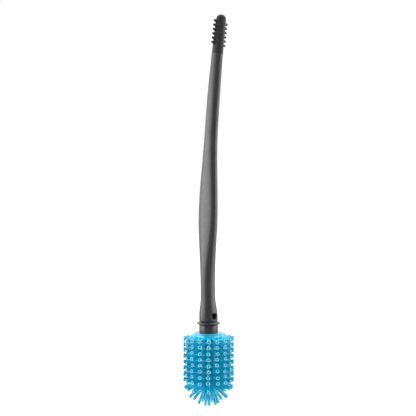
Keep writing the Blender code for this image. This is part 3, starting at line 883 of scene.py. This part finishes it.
def tip_piece(tree, finish):
    """Soft nubbed tip: a cap over the core's peg, with its nubs."""
    bore_radius = PEG_RADIUS + FIT_GAP
    bore_top = HANDLE_TOP - PEG_TO_TIP_END + FIT_GAP
    rings = [[handle_frame(bore_top)[0]]]
    for step in range(TIP_RINGS + 1):
        height = between(bore_top, GRIP_END, step / TIP_RINGS)
        rings.append(handle_ring(height, bore_radius, bore_radius))
    dome_start = HANDLE_TOP - TIP_RADIUS
    rings += handle_rings(GRIP_END, dome_start, 0.0, TIP_RINGS)
    for step in range(1, DOME_STEPS):
        angle = 0.5 * math.pi * step / DOME_STEPS
        radius = TIP_RADIUS * math.cos(angle)
        rings.append(handle_ring(dome_start + TIP_RADIUS * math.sin(angle), radius, radius))
    rings.append([handle_frame(HANDLE_TOP)[0]])
    tip = to_object(skin(rings), "tip_cap", finish)
    nubs = field_mesh(tree, "nubs", nub_mesh(), nub_places(), 0.0, 0, finish)
    cut(tip, to_object(joined([nubs]), "nub_set", finish), "UNION")
    place(tip, "handle", "tip_rubber", "detail_tip")


def ring_piece(name, node, height, finish):
    """Rubber ring in its groove on the spigot."""
    rings = []
    for step in range(RING_SECTION_SIDES):
        angle = TAU * step / RING_SECTION_SIDES
        rings.append(round_ring(RING_MIDDLE_RADIUS + RING_SECTION_RADIUS * math.cos(angle),
                                height + RING_SECTION_RADIUS * math.sin(angle), RING_SIDES))
    ring = to_object(skin(rings, wrap=True), name, finish)
    place(ring, "handle", "ring_rubber", node)


def ribbed_corners(radius, room):
    """Corners up a wall with its ribs, each with a sloping top and bottom."""
    corners = []
    for share in RIB_HEIGHT_SHARES:
        height = between(DOME_CENTRE, SLEEVE_TOP, share)
        half = 0.5 * RIB_HEIGHT + room
        corners += [(radius, height - half, FINE_EASE),
                    (radius + RIB_PROUD, height - half + RIB_PROUD, FINE_EASE),
                    (radius + RIB_PROUD, height + half - RIB_PROUD, FINE_EASE),
                    (radius, height + half, FINE_EASE)]
    return corners


def insert_piece(finish):
    """Stiff insert of the head: a tube with a floor, ribs outside and a flange on top."""
    corners = [(0.0, INSERT_BOTTOM, 0.0),
               (INSERT_RADIUS - INSERT_END_CHAMFER, INSERT_BOTTOM, FINE_EASE),
               (INSERT_RADIUS, INSERT_BOTTOM + INSERT_END_CHAMFER, FINE_EASE)]
    corners += ribbed_corners(INSERT_RADIUS, 0.0)
    corners += [(INSERT_RADIUS, FLANGE_BOTTOM, FINE_EASE),
                (FLANGE_RADIUS, FLANGE_BOTTOM, FLANGE_EASE),
                (FLANGE_RADIUS, FLANGE_TOP, FLANGE_EASE),
                (BORE_RADIUS, FLANGE_TOP, FINE_EASE),
                (BORE_RADIUS, BORE_FLOOR, FINE_EASE),
                (0.0, BORE_FLOOR, 0.0)]
    insert = to_object(turned(corners), "insert_moulding", finish)
    slots = lug_block(FIT_GAP, SHOULDER - LUG_HEIGHT - FIT_GAP, FLANGE_TOP + CUT_OVERRUN)
    cut(insert, to_object(slots, "lug_slots"), "DIFFERENCE")
    place(insert, "head", "stiff_blue", "head_insert")


def sleeve_piece(finish):
    """Silicone sleeve with its domed end, over the insert."""
    bore = INSERT_RADIUS + FIT_GAP
    floor = INSERT_BOTTOM - FIT_GAP
    corners = [(0.0, SLEEVE_BOTTOM, 0.0)]
    for step in range(1, DOME_STEPS + 1):
        angle = 0.5 * math.pi * step / DOME_STEPS
        corners.append((SLEEVE_RADIUS * math.sin(angle),
                        DOME_CENTRE - SLEEVE_DOME_DEPTH * math.cos(angle), 0.0))
    corners += [(SLEEVE_RADIUS, SLEEVE_TOP, FLANGE_EASE), (bore, SLEEVE_TOP, FINE_EASE)]
    corners += list(reversed(ribbed_corners(bore, FIT_GAP)))
    corners += [(bore, floor + INSERT_END_CHAMFER, FINE_EASE),
                (bore - INSERT_END_CHAMFER, floor, FINE_EASE),
                (0.0, floor, 0.0)]
    sleeve = to_object(turned(corners), "silicone_sleeve", finish)
    place(sleeve, "head", "silicone", "brush_head")


def fingers_piece(tree, finish):
    """All the moulded fingers of the head, in columns round the sleeve and rings on its dome."""
    side_shape = finger_mesh(REACH - SLEEVE_RADIUS + FINGER_ROOT, FINGER_ROOT_RADIUS,
                             FINGER_NECK_RADIUS, FINGER_END_RADIUS)
    meshes = [field_mesh(tree, "side", side_shape, side_places(), FINGER_WOBBLE, FINGER_SEED,
                         finish)]
    for count, degrees in zip(DOME_RING_COUNTS, DOME_RING_DEGREES):
        polar = math.radians(degrees)
        start = dome_surface_reach(polar) - FINGER_ROOT
        shape = finger_mesh(REACH - start, DOME_FINGER_ROOT_RADIUS, DOME_FINGER_NECK_RADIUS,
                            DOME_FINGER_END_RADIUS)
        places = dome_places(count, polar, start)
        meshes.append(field_mesh(tree, "dome", shape, places, FINGER_WOBBLE,
                                 FINGER_SEED + count, finish))
    fingers = to_object(joined(meshes), "silicone_fingers", sharp=SOFT_ANGLE)
    fingers.data.materials.clear()  # puts every face on the first slot
    fingers.data.materials.append(finish)
    place(fingers, "head", "silicone", "brush_head")


def looked_factor(tree):
    """1 for the rays that look straight at the surroundings, also through a piece."""
    path = add_node(tree, "ShaderNodeLightPath").outputs
    looked = add_node(tree, "ShaderNodeMath", operation="MAXIMUM")
    tree.links.new(path["Is Camera Ray"], looked.inputs[0])
    tree.links.new(path["Is Transmission Ray"], looked.inputs[1])
    return looked.outputs["Value"]


def room_level(tree, side, levels, span):
    """Brightness of the room's walls: the second level towards a side, the first away from it."""
    where = add_node(tree, "ShaderNodeTexCoord").outputs["Generated"]
    facing = add_node(tree, "ShaderNodeVectorMath", operation="DOT_PRODUCT")
    facing.inputs[1].default_value = side
    tree.links.new(where, facing.inputs[0])
    return over_span(tree, facing.outputs["Value"], span, levels)


def wall(tree, level=None):
    """White wall, plain or of a given brightness."""
    made = add_node(tree, "ShaderNodeBackground")
    made.inputs["Color"].default_value = (1.0, 1.0, 1.0, 1.0)
    made.inputs["Strength"].default_value = 1.0
    if level is not None:
        tree.links.new(level, made.inputs["Strength"])
    return made.outputs["Background"]


def blend(tree, factor, low, high):
    """Mix of two shaders."""
    mix = add_node(tree, "ShaderNodeMixShader")
    tree.links.new(factor, mix.inputs["Fac"])
    tree.links.new(low, mix.inputs[1])
    tree.links.new(high, mix.inputs[2])
    return mix.outputs["Shader"]


def make_sky():
    """Studio room, white to look at.

    Matt surfaces see its walls brighter on the camera's side, gloss sees them bright behind.
    """
    world = bpy.data.worlds.new("studio")
    world.use_nodes = True
    tree = world.node_tree
    tree.nodes.clear()
    behind = -direction(CAMERA_AZIMUTH)
    path = add_node(tree, "ShaderNodeLightPath").outputs
    light = wall(tree, room_level(tree, behind, WALL_LEVELS, WALL_SPAN))
    sheen = wall(tree, room_level(tree, behind, SHEEN_LEVELS, SHEEN_SPAN))
    lit = blend(tree, path["Is Glossy Ray"], light, sheen)
    result = add_node(tree, "ShaderNodeOutputWorld")
    seen = blend(tree, looked_factor(tree), lit, wall(tree))
    tree.links.new(seen, result.inputs["Surface"])
    bpy.context.scene.world = world


def floor_finish():
    """Grey floor that looks white to the camera, because it glows as well, and keeps a shadow."""
    made = bpy.data.materials.new("floor_white")
    made.use_nodes = True
    tree = made.node_tree
    tree.nodes.clear()
    spot = add_node(tree, "ShaderNodeTexCoord").outputs["Object"]
    flat = add_node(tree, "ShaderNodeVectorMath", operation="MULTIPLY")
    flat.inputs[1].default_value = (1.0, 1.0, 0.0)
    tree.links.new(spot, flat.inputs[0])
    away = length_of(tree, flat.outputs["Vector"])
    level = add_node(tree, "ShaderNodeMath", operation="MULTIPLY")
    tree.links.new(looked_factor(tree), level.inputs[0])
    tree.links.new(over_span(tree, away, FLOOR_GLOW_SPAN, FLOOR_GLOWS), level.inputs[1])
    glow = add_node(tree, "ShaderNodeEmission")
    tree.links.new(level.outputs["Value"], glow.inputs["Strength"])
    matt = add_node(tree, "ShaderNodeBsdfDiffuse")
    matt.inputs["Color"].default_value = (FLOOR_GREY, FLOOR_GREY, FLOOR_GREY, 1.0)
    both = add_node(tree, "ShaderNodeAddShader")
    tree.links.new(matt.outputs["BSDF"], both.inputs[0])
    tree.links.new(glow.outputs["Emission"], both.inputs[1])
    result = add_node(tree, "ShaderNodeOutputMaterial")
    tree.links.new(both.outputs["Shader"], result.inputs["Surface"])
    return made


def make_floor():
    """Plain floor below the head."""
    half = 0.5 * FLOOR_SIZE
    height = cad_box[0].z - FLOOR_BELOW_HEAD
    mesh = bpy.data.meshes.new("floor")
    corners = [(-half, -half, height), (half, -half, height), (half, half, height),
               (-half, half, height)]
    mesh.from_pydata(corners, [], [(0, 1, 2, 3)])
    mesh.materials.append(floor_finish())
    floor = bpy.data.objects.new("floor", mesh)
    bpy.context.scene.collection.objects.link(floor)


def soft_box(name, degrees_from_camera, distance, height, width, tall, level):
    """Area light that faces the object, of a given brightness."""
    light = bpy.data.lights.new(name, "AREA")
    light.shape = "RECTANGLE"
    light.size = width
    light.size_y = tall
    light.energy = level * math.pi * width * tall
    lamp = bpy.data.objects.new(name, light)
    bpy.context.scene.collection.objects.link(lamp)
    towards = direction(CAMERA_AZIMUTH + math.radians(degrees_from_camera))
    lamp.location = towards * distance + UP * height
    aim = UP * BOX_AIM_HEIGHT - lamp.location
    lamp.rotation_euler = aim.to_track_quat("-Z", "Y").to_euler()


def make_lights():
    """Soft boxes at the left and the right of the view, and a weaker one overhead."""
    soft_box("left_box", degrees_from_camera=-83.0, distance=BOX_DISTANCE, height=0.13,
             width=1.15, tall=0.90, level=6.4)
    soft_box("right_box", degrees_from_camera=84.0, distance=BOX_DISTANCE, height=0.00,
             width=1.05, tall=0.95, level=5.1)
    soft_box("top_box", degrees_from_camera=110.0, distance=0.30, height=0.95,
             width=0.80, tall=0.80, level=2.6)


def make_camera():
    """Level camera at the photograph's angle and distance."""
    data = bpy.data.cameras.new("camera")
    data.lens = CAMERA_LENS
    data.sensor_width = CAMERA_SENSOR_WIDTH
    camera = bpy.data.objects.new("camera", data)
    bpy.context.scene.collection.objects.link(camera)
    back = direction(CAMERA_AZIMUTH)
    right = UP.cross(back)
    camera.location = back * CAMERA_DISTANCE - right * CAMERA_TO_LEFT + UP * CAMERA_HEIGHT
    camera.rotation_euler = (-back).to_track_quat("-Z", "Y").to_euler()
    bpy.context.scene.camera = camera


def build():
    """Make every piece, its surroundings and the view."""
    tree = field_tree()
    core_piece(stiff_grey_finish())
    grip_piece(soft_grip_finish())
    tip_piece(tree, tip_rubber_finish())
    rubber = ring_rubber_finish()
    names = (("ring_upper", "seal_ring_upper"), ("ring_lower", "seal_ring_lower"))
    for (name, node), height in zip(names, RING_HEIGHTS):
        ring_piece(name, node, height, rubber)
    insert_piece(stiff_blue_finish())
    silicone = silicone_finish()
    sleeve_piece(silicone)
    fingers_piece(tree, silicone)
    make_sky()
    make_floor()
    make_lights()
    make_camera()
    bpy.context.scene.view_settings.view_transform = "Standard"


build()
